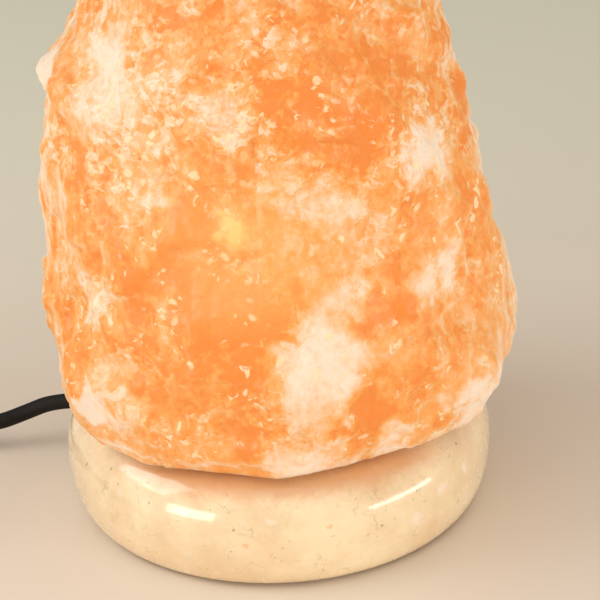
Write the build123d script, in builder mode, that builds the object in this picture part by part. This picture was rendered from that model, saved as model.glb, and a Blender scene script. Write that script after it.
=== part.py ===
from build123d import *
from math import acos, cos, degrees, dist, pi, radians, sin, sqrt, tan
import os

# A salt crystal lamp: a rough block of rock salt on a polished onyx base, lit from inside by a
# small screw bulb, with its mains cord, thumb-wheel dimmer and flat plug.
# Millimetres, +Z up. The origin is the centre of the felt ring that the lamp rests on, the
# front of the lamp faces -Y, and the cord leaves at the back left, towards -X.

# ---------------------------------------------------------------- driving dimensions

# clearances
fit_gap = 0.05  # radial play of a cord, screw or spigot in its hole
running_gap = 0.05  # radial play of a turning piece in its bearing

# onyx base, a turned disc with a full rounded edge
base_radius = 70.0
base_foot_inset = 6.0
base_top_inset = 18.0
base_foot_radius = base_radius - base_foot_inset
base_top_radius = base_radius - base_top_inset
stone_height = 36.8
base_bore_radius = 23.0

# felt ring glued under the base
felt_thickness = 1.2
felt_edge_margin = 4.0
felt_width = 14.0
felt_outer_radius = base_foot_radius - felt_edge_margin
felt_inner_radius = felt_outer_radius - felt_width

# screws that hold the block to the base, from below
screw_count = 3
screw_circle_radius = 38.0
screw_azimuth = 90.0
screw_radius = 2.0
screw_length = 40.0
screw_head_radius = 4.0
screw_head_height = 2.6
screw_hole_radius = 2.4
counterbore_radius = 5.5
counterbore_depth = 14.0
washer_radius = 4.8
washer_thickness = 0.8
plug_anchor_radius = 4.0
plug_anchor_length = 20.0
anchor_end_room = 0.5

# hole in the side of the base for the cord, with its rubber bush
cord_hole_radius = 4.6
cord_hole_height = 18.95
cord_hole_azimuth = 158.63
grommet_length = 14.0
grommet_lip_radius = 5.6
grommet_lip_thickness = 1.6
grommet_seat_gap = 0.02

# block of rock salt: height above the base, then its reach to the left, right, front and back
salt_sides = 20
salt_roughness = 0.045
salt_chip_depth = 2.0
salt_levels = [
    (0, 67.0, 69.0, 62.0, 59.0),
    (7, 71.5, 76.5, 67.0, 64.0),
    (18, 73.0, 80.0, 69.5, 66.5),
    (26, 74.0, 80.5, 70.0, 67.5),
    (36, 75.0, 79.0, 69.5, 67.0),
    (46, 75.0, 76.5, 68.0, 66.0),
    (58, 72.5, 73.0, 66.5, 63.5),
    (75, 71.5, 69.0, 63.0, 61.0),
    (92, 69.5, 65.0, 59.5, 58.0),
    (104, 67.0, 62.5, 57.0, 55.0),
    (112, 69.0, 60.5, 55.0, 53.0),
    (121, 63.5, 58.5, 51.5, 50.0),
    (134, 55.5, 55.0, 46.0, 46.5),
    (149, 48.0, 47.0, 40.0, 41.0),
    (165, 38.5, 37.0, 32.5, 34.5),
    (180, 28.0, 26.0, 23.0, 27.0),
    (192, 17.5, 14.0, 12.0, 18.0),
    (201, 6.0, 5.0, 4.0, 7.0),
]
salt_bore_radius = 27.0
salt_bore_depth = 84.0
salt_bore_end_radius = 8.0
salt_bore_end_height = 8.0

# mains cord: round, two cores in a sheath
cord_radius = 2.7
core_radius = 1.0
core_spacing = 2.6
cord_bend_radius = 14.0
cord_drop = 1.0

# lamp holder for a 14 mm screw cap, hung in the bore of the base by a sprung bracket
bush_flange_radius = 7.0
bush_flange_thickness = 2.0
bush_radius = 5.0
bracket_thickness = 0.8
bracket_radius = 13.0
wing_width = 12.0
wing_azimuth = 68.6
wing_bend_radius = 2.0
wing_shoulder = 19.5
wing_grip_drop = 8.0
wing_tip_drop = 20.0
wing_tip_inset = 4.0
wing_seat_gap = 0.1
cap_outer_radius = 14.5
cap_wall = 1.7
cap_floor = 2.0
cap_height = 11.2
nut_across_flats = 14.0
nut_height = 2.5
bush_thread_past_nut = 1.0
sheath_past_bush = 1.5
spigot_length = 4.0
spigot_bore_radius = 9.5
ledge_height = 2.5
body_radius = 13.5
body_wall = 1.6
body_height = 29.0
terminal_block_height = 7.0
terminal_offset = 6.0
terminal_depth = 5.0
terminal_screw_radius = 1.2
terminal_screw_length = 4.5
terminal_head_radius = 1.9
terminal_head_height = 1.5
contact_sheet = 0.5
contact_flange_radius = 11.0
contact_sleeve_wall = 0.4
contact_sleeve_height = 16.0
tongue_width = 4.0
tongue_reach = 5.5
tongue_rise = 1.4

# bulb: clear pygmy lamp with a 14 mm screw cap
bulb_tip_radius = 2.4
bulb_tip_height = 1.2
insulator_height = 2.8
insulator_small_radius = 3.2
insulator_large_radius = 6.3
bulb_cap_radius = 6.95
bulb_cap_wall = 0.4
bulb_cap_length = 13.6
thread_pitch = 2.8
thread_depth = 0.5
thread_turns = 4
glass_radius = 12.5
glass_wall = 0.8
glass_neck_radius = 5.9
glass_neck_in_cap = 10.0
glass_throat_rise = 3.0
glass_belly_rise = 13.0
glass_shoulder_rise = 18.0
glass_bend_radius = 6.0
glass_side_radius = 30.0
glass_top_radius = 8.0
stem_radius = 1.8
stem_flare_height = 0.8
stem_cone_height = 5.0
stem_height = 17.0
lead_radius = 0.4
lead_spacing = 2.2
filament_radius = 0.3
filament_arch_radius = 5.0
filament_rise = 9.0

# cord from the base to the dimmer: points after the exit, chosen to follow the photographed
# stretch, straight in the view and falling away from the base, and then to the dimmer
cord_run_points = [
    (-77.3, 30.25, 17.0),
    (-87.9, 31.05, 12.3),
    (-98.2, 28.45, 9.8),
    (-108.8, 28.8, 9.0),
]

# thumb-wheel dimmer on the cord
dimmer_length = 64.0
dimmer_width = 28.0
dimmer_height = 18.0
dimmer_wall = 1.6
dimmer_corner_radius = 8.0
dimmer_edge_radius = 1.4
wheel_radius = 16.0
wheel_thickness = 4.5
wheel_notches = 36
wheel_notch_radius = 0.6
wheel_slot_room = 0.5
wheel_slot_length = 22.0
spindle_radius = 3.0
spindle_top = 13.0
spindle_boss_wall = 2.0
spindle_boss_bottom = 12.0
dial_radius = 7.0
dial_height = 1.2
spindle_lift = 0.1
board_length = 46.0
board_width = 18.0
board_thickness = 1.6
board_rib_height = 1.6
board_rib_thickness = 2.0
board_rib_offset = 12.0
part_offset = 18.6
part_thickness = 4.0
wire_landing = 21.9
wire_lane = 7.2
capacitor_width = 10.0
capacitor_height = 8.0
triac_width = 9.0
triac_height = 6.5
dimmer_screw_x = 26.5
dimmer_screw_y = 8.0
dimmer_screw_radius = 1.1
dimmer_screw_head_radius = 2.3
dimmer_screw_head_height = 1.6
dimmer_screw_seat = 2.4
dimmer_screw_length = 11.5
dimmer_post_radius = 2.8
relief_length = 20.0
relief_large_radius = 4.9
relief_small_radius = 3.7
relief_neck_radius = 4.0
relief_collar_thickness = 1.5
relief_seat_gap = 0.05
tail_inside = 5.0
dimmer_wire_radius = 0.8

cord_end_run = 10.8  # each free stretch leaves straight for this length

# cord from the dimmer round to the coil: points after the dimmer, chosen by hand
cord_lead_points = [
    (-236.3, 30.6, 8.4),
    (-247.3, 23.7, 7.1),
    (-254.6, 13.0, 5.6),
    (-257.2, 0.2, 4.3),
]

# put-away coil: the cord winds in on the table, climbs, and winds out again on top
coil_centre = (-213.5, -28.0)
coil_inner_radius = 21.6
coil_turns = 7.25
coil_start_angle = 180.0
coil_turn_gap = 0.5
coil_points_per_turn = 4

# tie round the coil
tie_thickness = 0.6
tie_width = 5.0
tie_gap = 0.3
tie_table_gap = 0.1
tie_azimuth = 225.0
tie_tail_length = 14.0

# cord from the coil to the plug: points after the coil, chosen by hand
cord_plug_points = [
    (-188.9, -70.6, 8.1),
    (-180.8, -68.4, 7.0),
    (-173.2, -65.2, 6.9),
]

# flat mains plug, two round pins
plug_thickness = 13.8
plug_relief_length = 20.0
plug_relief_small_radius = 3.8
plug_relief_large_radius = 5.2
plug_waist_width = 25.0
plug_shoulder_width = 28.0
plug_face_width = 35.3
plug_waist_place = 6.0
plug_shoulder_place = 18.0
plug_face_depth = 4.0
plug_body_length = 28.0
plug_edge_radius = 2.0
pin_spacing = 18.6
pin_radius = 2.0
pin_length = 19.0
pin_core_radius = 1.55
pin_sleeve_length = 10.0
pin_tip_radius = 1.2

# ---------------------------------------------------------------- sizes worked out

base_bottom = felt_thickness
base_middle = base_bottom + stone_height / 2
base_top = base_bottom + stone_height
exit_reach = base_radius + grommet_seat_gap + grommet_lip_thickness

bush_bottom = cord_hole_height + cord_bend_radius + cord_drop
bracket_bottom = bush_bottom + bush_flange_thickness
cap_bottom = bracket_bottom + bracket_thickness
cap_inner_radius = cap_outer_radius - cap_wall
nut_bottom = cap_bottom + cap_floor
bush_top = nut_bottom + nut_height + bush_thread_past_nut
sheath_end = bush_top + sheath_past_bush
body_bottom = cap_bottom + cap_height
spigot_bottom = body_bottom - spigot_length
ledge = body_bottom + ledge_height
body_top = body_bottom + body_height
body_bore_radius = body_radius - body_wall
block_top = ledge + terminal_block_height
contact_sleeve_radius = bulb_cap_radius + running_gap

bulb_bottom = block_top + tongue_rise
insulator_bottom = bulb_bottom + bulb_tip_height
bulb_cap_bottom = insulator_bottom + insulator_height
bulb_cap_top = bulb_cap_bottom + bulb_cap_length
glass_bottom = bulb_cap_top - glass_neck_in_cap
glass_throat = bulb_cap_top + glass_throat_rise
glass_belly = bulb_cap_top + glass_belly_rise
glass_shoulder = bulb_cap_top + glass_shoulder_rise
glass_lean = degrees(
    acos((glass_side_radius - glass_radius) / (glass_side_radius - glass_top_radius))
)
glass_crown = glass_shoulder + (glass_side_radius - glass_top_radius) * sin(radians(glass_lean))
stem_top = glass_bottom + stem_height
filament_foot = stem_top + filament_rise

cord_diameter = 2 * cord_radius
split_height = dimmer_height / 2
board_bottom = dimmer_wall + board_rib_height
board_top = board_bottom + board_thickness

coil_step = cord_diameter + coil_turn_gap
coil_bottom_height = tie_thickness + tie_table_gap + cord_radius
coil_outer_radius = coil_inner_radius + coil_step * coil_turns / 2
plug_axis_height = plug_thickness / 2


def direction(azimuth):
    """A level unit vector at an azimuth in degrees."""
    return Vector(cos(radians(azimuth)), sin(radians(azimuth)), 0)


# the cord's hole: local z runs out of the lamp along the hole
hole_plane = Plane(
    origin=(0, 0, cord_hole_height), x_dir=(0, 0, 1), z_dir=direction(cord_hole_azimuth)
)
cord_exit = hole_plane.origin + direction(cord_hole_azimuth) * exit_reach


def turned(*corners, mode=Mode.ADD):
    """A piece turned about Z from a closed section of (radius, height) corners."""
    with BuildSketch(Plane.XZ) as section:
        with BuildLine():
            Polyline(*corners, close=True)
        make_face()
    revolve(section.sketch, axis=Axis.Z, mode=mode)


def ring(plane, inner_radius, outer_radius, height):
    """A plain ring standing on a plane."""
    with BuildSketch(plane) as section:
        Circle(outer_radius)
        Circle(inner_radius, mode=Mode.SUBTRACT)
    extrude(section.sketch, amount=height)


# ---------------------------------------------------------------- base

with BuildPart() as felt_ring:
    ring(Plane.XY, felt_inner_radius, felt_outer_radius, felt_thickness)
felt_ring.part.label = "felt_ring"

with BuildPart() as marble_base:
    with BuildSketch(Plane.XZ):
        with BuildLine():
            Line((base_bore_radius, base_bottom), (base_foot_radius, base_bottom))
            EllipticalCenterArc(
                (base_foot_radius, base_middle),
                base_radius - base_foot_radius,
                stone_height / 2,
                start_angle=-90,
                arc_size=90,
            )
            EllipticalCenterArc(
                (base_top_radius, base_middle),
                base_radius - base_top_radius,
                stone_height / 2,
                start_angle=0,
                arc_size=90,
            )
            Line((base_top_radius, base_top), (base_bore_radius, base_top))
            Line((base_bore_radius, base_top), (base_bore_radius, base_bottom))
        make_face()
    revolve(axis=Axis.Z)
    with BuildSketch(Plane.XY.offset(base_bottom)):
        with PolarLocations(screw_circle_radius, screw_count, start_angle=screw_azimuth):
            Circle(screw_hole_radius)
    extrude(amount=stone_height, mode=Mode.SUBTRACT)
    with BuildSketch(Plane.XY.offset(base_bottom)):
        with PolarLocations(screw_circle_radius, screw_count, start_angle=screw_azimuth):
            Circle(counterbore_radius)
    extrude(amount=counterbore_depth, mode=Mode.SUBTRACT)
    with BuildSketch(hole_plane):
        Circle(cord_hole_radius)
    extrude(amount=exit_reach, mode=Mode.SUBTRACT)
marble_base.part.label = "marble_base"

with BuildPart() as cord_grommet:
    lip_plane = hole_plane.offset(base_radius + grommet_seat_gap)
    ring(
        lip_plane.offset(-grommet_length),
        cord_radius + fit_gap,
        cord_hole_radius - fit_gap,
        grommet_length,
    )
    ring(lip_plane, cord_radius + fit_gap, grommet_lip_radius, grommet_lip_thickness)
cord_grommet.part.label = "cord_grommet"

# ---------------------------------------------------------------- block of rock salt


def salt_outline(height, left, right, front, back):
    """One ring of the block: four quarter ovals, dented and chipped between the four reaches."""
    corners = []
    for side in range(salt_sides):
        turn = 2 * pi * side / salt_sides
        across = right if cos(turn) > 0 else left
        along = back if sin(turn) > 0 else front
        dent = 1 + salt_roughness * sin(2 * turn) * sin(5 * turn + height / 11)
        chip = salt_chip_depth * abs(sin(turn)) * sin(7 * turn + 0.23 * height)
        corners.append(
            ((across * dent + chip) * cos(turn), (along * dent + chip) * sin(turn))
        )
    return corners


with BuildPart() as salt_crystal:
    for level in salt_levels:
        with BuildSketch(Plane.XY.offset(base_top + level[0])):
            with BuildLine():
                Polyline(*salt_outline(*level), close=True)
            make_face()
    loft(ruled=True)
    turned(
        (0, base_top),
        (salt_bore_radius, base_top),
        (salt_bore_radius, base_top + salt_bore_depth),
        (salt_bore_end_radius, base_top + salt_bore_depth + salt_bore_end_height),
        (0, base_top + salt_bore_depth + salt_bore_end_height),
        mode=Mode.SUBTRACT,
    )
    with BuildSketch(Plane.XY.offset(base_top)):
        with PolarLocations(screw_circle_radius, screw_count, start_angle=screw_azimuth):
            Circle(plug_anchor_radius + fit_gap)
    extrude(amount=plug_anchor_length + anchor_end_room, mode=Mode.SUBTRACT)
salt_crystal.part.label = "salt_crystal"

with BuildPart() as screw_plugs:
    with BuildSketch(Plane.XY.offset(base_top)):
        with PolarLocations(screw_circle_radius, screw_count, start_angle=screw_azimuth):
            Circle(plug_anchor_radius)
            Circle(screw_radius + fit_gap, mode=Mode.SUBTRACT)
    extrude(amount=plug_anchor_length)
screw_plugs.part.label = "screw_plugs"

screw_seat = base_bottom + counterbore_depth
with BuildPart() as screw_washers:
    with BuildSketch(Plane.XY.offset(screw_seat - washer_thickness)):
        with PolarLocations(screw_circle_radius, screw_count, start_angle=screw_azimuth):
            Circle(washer_radius)
            Circle(screw_radius + fit_gap, mode=Mode.SUBTRACT)
    extrude(amount=washer_thickness)
screw_washers.part.label = "screw_washers"

screw_head_top = screw_seat - washer_thickness
with BuildPart() as base_screws:
    with BuildSketch(Plane.XY.offset(screw_head_top - screw_head_height)):
        with PolarLocations(screw_circle_radius, screw_count, start_angle=screw_azimuth):
            Circle(screw_head_radius)
    extrude(amount=screw_head_height)
    fillet(base_screws.edges().group_by(Axis.Z)[0], radius=screw_head_height / 3)
    with BuildSketch(Plane.XY.offset(screw_head_top)):
        with PolarLocations(screw_circle_radius, screw_count, start_angle=screw_azimuth):
            Circle(screw_radius)
    extrude(amount=screw_length)
    with BuildSketch(Plane.XY.offset(screw_head_top - screw_head_height)):
        with PolarLocations(screw_circle_radius, screw_count, start_angle=screw_azimuth):
            Rectangle(screw_head_radius, screw_head_height / 3)
            Rectangle(screw_head_height / 3, screw_head_radius)
    extrude(amount=screw_head_height / 2, mode=Mode.SUBTRACT)
base_screws.part.label = "base_screws"

# ---------------------------------------------------------------- lamp holder

with BuildPart() as cord_bush:
    bush_bore = cord_radius + fit_gap
    ring(Plane.XY.offset(bush_bottom), bush_bore, bush_flange_radius, bush_flange_thickness)
    ring(Plane.XY.offset(bracket_bottom), bush_bore, bush_radius, bush_top - bracket_bottom)
cord_bush.part.label = "cord_bush"

# The bracket is one pressing of spring steel: a plate under the holder with two wings that
# bow out to the wall of the bore, and are squeezed together to draw the holder out.
wing_reach = sqrt(base_bore_radius**2 - (wing_width / 2) ** 2) - wing_seat_gap
with BuildPart() as spring_bracket:
    bracket_plate = Plane.XY.offset(bracket_bottom)
    ring(bracket_plate, bush_radius + fit_gap, bracket_radius, bracket_thickness)
    bracket_middle = bracket_bottom + bracket_thickness / 2
    for azimuth in (wing_azimuth, wing_azimuth + 180):
        wing_plane = Plane(origin=(0, 0, 0), x_dir=direction(azimuth), z_dir=direction(azimuth - 90))
        with BuildLine(wing_plane) as wing_line:
            FilletPolyline(
                (bracket_radius - wing_bend_radius, bracket_middle),
                (wing_shoulder, bracket_middle),
                (wing_reach - bracket_thickness / 2, bracket_middle - wing_grip_drop),
                (wing_reach - wing_tip_inset, bracket_middle - wing_tip_drop),
                radius=wing_bend_radius,
            )
        with BuildSketch(Plane(origin=wing_line.line @ 0, x_dir=(0, 0, 1), z_dir=direction(azimuth))):
            Rectangle(bracket_thickness, wing_width)
        sweep()
spring_bracket.part.label = "spring_bracket"

with BuildPart() as holder_cap:
    ring(Plane.XY.offset(cap_bottom), bush_radius + fit_gap, cap_outer_radius, cap_floor)
    ring(
        Plane.XY.offset(cap_bottom + cap_floor),
        cap_inner_radius,
        cap_outer_radius,
        cap_height - cap_floor,
    )
    fillet(holder_cap.edges().group_by(Axis.Z)[0].sort_by(SortBy.LENGTH)[-1], radius=cap_wall / 2)
holder_cap.part.label = "holder_cap"

with BuildPart() as lock_nut:
    with BuildSketch(Plane.XY.offset(nut_bottom)):
        RegularPolygon(nut_across_flats / 2, 6, major_radius=False)
        Circle(bush_radius + fit_gap, mode=Mode.SUBTRACT)
    extrude(amount=nut_height)
lock_nut.part.label = "lock_nut"

with BuildPart() as holder_body:
    turned(
        (spigot_bore_radius, spigot_bottom),
        (cap_inner_radius - fit_gap, spigot_bottom),
        (cap_inner_radius - fit_gap, body_bottom),
        (body_radius, body_bottom),
        (body_radius, body_top),
        (body_bore_radius, body_top),
        (body_bore_radius, ledge),
        (spigot_bore_radius, ledge),
    )
    fillet(holder_body.edges().group_by(Axis.Z)[-1].sort_by(SortBy.LENGTH)[-1], radius=body_wall / 2)
holder_body.part.label = "holder_body"

with BuildPart() as terminal_block:
    with BuildSketch(Plane.XY.offset(ledge)):
        Circle(body_bore_radius - fit_gap)
    extrude(amount=terminal_block_height)
    with BuildSketch(Plane.XY.offset(ledge)):
        with Locations((terminal_offset, 0), (-terminal_offset, 0)):
            Circle(core_radius + fit_gap)
        with Locations((0, terminal_offset), (0, -terminal_offset)):
            Circle(terminal_screw_radius + fit_gap)
    extrude(amount=terminal_depth, mode=Mode.SUBTRACT)
terminal_block.part.label = "terminal_block"

with BuildPart() as terminal_screws:
    with BuildSketch(Plane.XY.offset(ledge - terminal_head_height)):
        with Locations((0, terminal_offset), (0, -terminal_offset)):
            Circle(terminal_head_radius)
    extrude(amount=terminal_head_height)
    with BuildSketch(Plane.XY.offset(ledge)):
        with Locations((0, terminal_offset), (0, -terminal_offset)):
            Circle(terminal_screw_radius)
    extrude(amount=terminal_screw_length)
terminal_screws.part.label = "terminal_screws"

with BuildPart() as shell_contact:
    contact_outer = contact_sleeve_radius + contact_sleeve_wall
    ring(Plane.XY.offset(block_top), contact_sleeve_radius, contact_flange_radius, contact_sheet)
    ring(Plane.XY.offset(block_top), contact_sleeve_radius, contact_outer, contact_sleeve_height)
shell_contact.part.label = "shell_contact"

with BuildPart() as centre_contact:
    with BuildSketch(Plane.XZ):
        with BuildLine():
            Polyline(
                (-tongue_reach, block_top),
                (-tongue_reach / 3, block_top),
                (bulb_tip_radius / 2, block_top + tongue_rise - contact_sheet),
                (bulb_tip_radius, block_top + tongue_rise - contact_sheet),
                (bulb_tip_radius, block_top + tongue_rise),
                (0, block_top + tongue_rise),
                (-tongue_reach / 2, block_top + contact_sheet),
                (-tongue_reach, block_top + contact_sheet),
                close=True,
            )
        make_face()
    extrude(amount=tongue_width / 2, both=True)
centre_contact.part.label = "centre_contact"


def core_route(side):
    """Route of one core from the end of the sheath up into the terminal block."""
    shoulder = (ledge - sheath_end) / 4
    return [
        (side * core_spacing / 2, 0, sheath_end),
        (side * core_spacing / 2, 0, sheath_end + shoulder),
        (side * terminal_offset, 0, ledge - shoulder),
        (side * terminal_offset, 0, ledge + terminal_depth - 2 * fit_gap),
    ]


with BuildPart() as core_wires:
    for side in (-1, 1):
        with BuildLine() as core_line:
            FilletPolyline(*core_route(side), radius=core_radius)
        with BuildSketch(Plane.XY.offset(sheath_end)):
            with Locations((side * core_spacing / 2, 0)):
                Circle(core_radius)
        sweep()
core_wires.part.label = "core_wires"

# ---------------------------------------------------------------- bulb


def glass_outline(inset):
    """Half outline of the bulb's glass, drawn in by an inset, and closed along the axis."""
    neck = glass_neck_radius - inset
    belly = glass_radius - inset
    sides = FilletPolyline(
        (neck, glass_bottom),
        (neck, glass_throat),
        (belly, glass_belly),
        (belly, glass_shoulder),
        radius=glass_bend_radius,
    )
    side_centre = (glass_radius - glass_side_radius, glass_shoulder)
    CenterArc(side_centre, glass_side_radius - inset, 0, glass_lean)
    top = CenterArc((0, glass_crown), glass_top_radius - inset, glass_lean, 90 - glass_lean)
    Line(top @ 1, (0, glass_bottom))
    Line((0, glass_bottom), sides @ 0)


with BuildPart() as bulb_glass:
    with BuildSketch(Plane.XZ):
        with BuildLine():
            glass_outline(0)
        make_face()
        with BuildLine():
            glass_outline(glass_wall)
        make_face(mode=Mode.SUBTRACT)
    revolve(axis=Axis.Z)
bulb_glass.part.label = "bulb_glass"

with BuildPart() as bulb_cap:
    turned(
        (bulb_cap_radius - bulb_cap_wall - thread_depth, bulb_cap_bottom),
        (bulb_cap_radius, bulb_cap_bottom),
        (bulb_cap_radius, bulb_cap_top),
        (bulb_cap_radius - bulb_cap_wall - thread_depth, bulb_cap_top),
    )
    with BuildSketch(Plane.XZ):
        with Locations(
            *[
                (bulb_cap_radius, bulb_cap_bottom + thread_pitch * (turn + 0.75))
                for turn in range(thread_turns)
            ]
        ):
            Circle(thread_depth)
    revolve(axis=Axis.Z, mode=Mode.SUBTRACT)
bulb_cap.part.label = "bulb_cap"

with BuildPart() as bulb_insulator:
    turned(
        (0, insulator_bottom),
        (insulator_small_radius, insulator_bottom),
        (insulator_large_radius, bulb_cap_bottom),
        (0, bulb_cap_bottom),
    )
bulb_insulator.part.label = "bulb_insulator"

with BuildPart() as bulb_tip:
    with BuildSketch(Plane.XY.offset(bulb_bottom)):
        Circle(bulb_tip_radius)
    extrude(amount=bulb_tip_height)
bulb_tip.part.label = "bulb_tip"

with BuildPart() as bulb_stem:
    flare_radius = glass_neck_radius - glass_wall - fit_gap
    turned(
        (0, glass_bottom),
        (flare_radius, glass_bottom),
        (flare_radius, glass_bottom + stem_flare_height),
        (stem_radius, glass_bottom + stem_flare_height + stem_cone_height),
        (stem_radius, stem_top),
        (0, stem_top),
    )
bulb_stem.part.label = "bulb_stem"

with BuildPart() as bulb_leads:
    for side in (-1, 1):
        with BuildLine():
            FilletPolyline(
                (side * lead_spacing / 2, 0, stem_top),
                (side * lead_spacing / 2, 0, stem_top + filament_rise / 4),
                (side * filament_arch_radius, 0, filament_foot - filament_rise / 4),
                (side * filament_arch_radius, 0, filament_foot),
                radius=lead_radius * 2,
            )
        with BuildSketch(Plane.XY.offset(stem_top)):
            with Locations((side * lead_spacing / 2, 0)):
                Circle(lead_radius)
        sweep()
bulb_leads.part.label = "bulb_leads"

with BuildPart() as bulb_filament:
    with BuildLine():
        ThreePointArc(
            (-filament_arch_radius, 0, filament_foot),
            (0, 0, filament_foot + filament_arch_radius),
            (filament_arch_radius, 0, filament_foot),
        )
    with BuildSketch(Plane.XY.offset(filament_foot)):
        with Locations((-filament_arch_radius, 0)):
            Circle(filament_radius)
    sweep()
bulb_filament.part.label = "bulb_filament"

# ---------------------------------------------------------------- cord


def bend_radii(points):
    """Radius of the arc at each inner point of a route: as large as its two runs allow."""
    places = [Vector(*point) for point in points]
    runs = [after - before for before, after in zip(places, places[1:])]
    return [
        0.45 * min(into.length, out.length) / tan(radians(into.get_angle(out) / 2))
        for into, out in zip(runs, runs[1:])
    ]


def cord_tube(name, points):
    """A stretch of round cord along a route, with its radii and its length printed."""
    radii = bend_radii(points)
    with BuildLine() as route:
        FilletPolyline(*points, radius=radii)
    with BuildSketch(Plane(origin=route.line @ 0, z_dir=route.line % 0)) as section:
        Circle(cord_radius)
    length = route.wire().length
    sweep(section.sketch, path=route.line)
    print(name, "length", round(length, 1), "radii", [round(radius, 1) for radius in radii])
    return length


def check_tube(name, part, length):
    """Prints a tube's volume against its section times its length."""
    print(name, "volume share", round(part.volume / (pi * cord_radius**2 * length), 4))


with BuildPart() as cord_inside:
    with BuildLine():
        FilletPolyline(
            (0, 0, sheath_end),
            (0, 0, cord_hole_height),
            cord_exit,
            radius=cord_bend_radius,
        )
    with BuildSketch(Plane.XY.offset(sheath_end)):
        Circle(cord_radius)
    sweep()
cord_inside.part.label = "cord_inside"

with BuildPart() as cord_run:
    run_length = cord_tube("cord_run", [tuple(cord_exit), *cord_run_points])
cord_run.part.label = "cord_run"
check_tube("cord_run", cord_run.part, run_length)

# ---------------------------------------------------------------- dimmer

near_nose = Vector(*cord_run_points[-1])
nose_run = near_nose - Vector(*cord_run_points[-2])
dimmer_direction = Vector(nose_run.X, nose_run.Y, 0).normalized()
dimmer_reach = dimmer_length / 2 + relief_length
dimmer_middle = near_nose + dimmer_direction * dimmer_reach
dimmer_plane = Plane(
    origin=(dimmer_middle.X, dimmer_middle.Y, 0), x_dir=dimmer_direction, z_dir=(0, 0, 1)
)
far_nose = near_nose + dimmer_direction * (2 * dimmer_reach)
dimmer_screw_places = [
    (dimmer_screw_x, dimmer_screw_y),
    (-dimmer_screw_x, -dimmer_screw_y),
]
cord_axis_plane = Plane(
    origin=(dimmer_middle.X, dimmer_middle.Y, split_height),
    x_dir=(0, 0, 1),
    z_dir=dimmer_direction,
)
inner_length = dimmer_length - 2 * dimmer_wall
inner_width = dimmer_width - 2 * dimmer_wall
inner_corner_radius = dimmer_corner_radius - dimmer_wall
slot_half_height = wheel_thickness / 2 + wheel_slot_room


def dimmer_shell(bottom, height, floor_bottom, hollow_bottom, hollow_height):
    """A half of the dimmer's case: its block with the hollow, wheel slots and cord holes cut."""
    with BuildSketch(dimmer_plane.offset(bottom)) as outline:
        RectangleRounded(dimmer_length, dimmer_width, dimmer_corner_radius)
    block = extrude(outline.sketch, amount=height)
    rim = block.edges().filter_by_position(Axis.Z, floor_bottom - fit_gap, floor_bottom + fit_gap)
    fillet(rim, radius=dimmer_edge_radius)
    with BuildSketch(dimmer_plane.offset(hollow_bottom)) as hollow:
        RectangleRounded(inner_length, inner_width, inner_corner_radius)
    extrude(hollow.sketch, amount=hollow_height, mode=Mode.SUBTRACT)
    with BuildSketch(dimmer_plane.offset(split_height)) as slot:
        Rectangle(wheel_slot_length, dimmer_width * 2)
    extrude(slot.sketch, amount=slot_half_height, both=True, mode=Mode.SUBTRACT)
    with BuildSketch(cord_axis_plane) as cord_hole:
        Circle(relief_neck_radius)
    extrude(cord_hole.sketch, amount=dimmer_length, both=True, mode=Mode.SUBTRACT)


def dimmer_holes(bottom, depth, radius):
    """Round holes at the two screws of the dimmer, bored up from a height."""
    with BuildSketch(dimmer_plane.offset(bottom)) as holes:
        with Locations(*dimmer_screw_places):
            Circle(radius)
    extrude(holes.sketch, amount=depth, mode=Mode.SUBTRACT)


with BuildPart() as dimmer_lower:
    dimmer_shell(0, split_height, 0, dimmer_wall, split_height)
    with BuildSketch(dimmer_plane.offset(dimmer_wall)):
        with Locations((board_rib_offset, 0), (-board_rib_offset, 0)):
            Rectangle(board_rib_thickness, inner_width)
    extrude(amount=board_rib_height)
    with BuildSketch(dimmer_plane.offset(dimmer_wall)):
        with Locations(*dimmer_screw_places):
            Circle(dimmer_post_radius)
    extrude(amount=split_height - dimmer_wall)
    dimmer_holes(0, split_height, dimmer_screw_radius + 4 * fit_gap)
    dimmer_holes(0, dimmer_screw_seat, dimmer_screw_head_radius + 4 * fit_gap)
dimmer_lower.part.label = "dimmer_lower"

upper_roof = dimmer_height - dimmer_wall
with BuildPart() as dimmer_upper:
    dimmer_shell(split_height, split_height, dimmer_height, split_height, upper_roof - split_height)
    with BuildSketch(dimmer_plane.offset(split_height)):
        with Locations(*dimmer_screw_places):
            Circle(dimmer_post_radius)
    extrude(amount=upper_roof - split_height)
    with BuildSketch(dimmer_plane.offset(spindle_boss_bottom)):
        Circle(spindle_radius + running_gap + spindle_boss_wall)
    extrude(amount=upper_roof - spindle_boss_bottom)
    with BuildSketch(dimmer_plane.offset(spindle_boss_bottom)):
        Circle(spindle_radius + running_gap)
    extrude(amount=upper_roof - spindle_boss_bottom, mode=Mode.SUBTRACT)
    screw_end = dimmer_screw_seat + dimmer_screw_length
    dimmer_holes(split_height, screw_end + running_gap - split_height, dimmer_screw_radius + fit_gap)
dimmer_upper.part.label = "dimmer_upper"

with BuildPart() as dimmer_screws:
    with BuildSketch(dimmer_plane.offset(dimmer_screw_seat - dimmer_screw_head_height)):
        with Locations(*dimmer_screw_places):
            Circle(dimmer_screw_head_radius)
    extrude(amount=dimmer_screw_head_height)
    with BuildSketch(dimmer_plane.offset(dimmer_screw_seat)):
        with Locations(*dimmer_screw_places):
            Circle(dimmer_screw_radius)
    extrude(amount=dimmer_screw_length)
dimmer_screws.part.label = "dimmer_screws"

with BuildPart() as dimmer_board:
    with BuildSketch(dimmer_plane.offset(board_bottom)):
        Rectangle(board_length, board_width)
    extrude(amount=board_thickness)
dimmer_board.part.label = "dimmer_board"

with BuildPart() as dimmer_dial:
    dial_bore = spindle_radius + running_gap
    ring(dimmer_plane.offset(board_top), dial_bore, dial_radius, dial_height)
dimmer_dial.part.label = "dimmer_dial"

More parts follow.
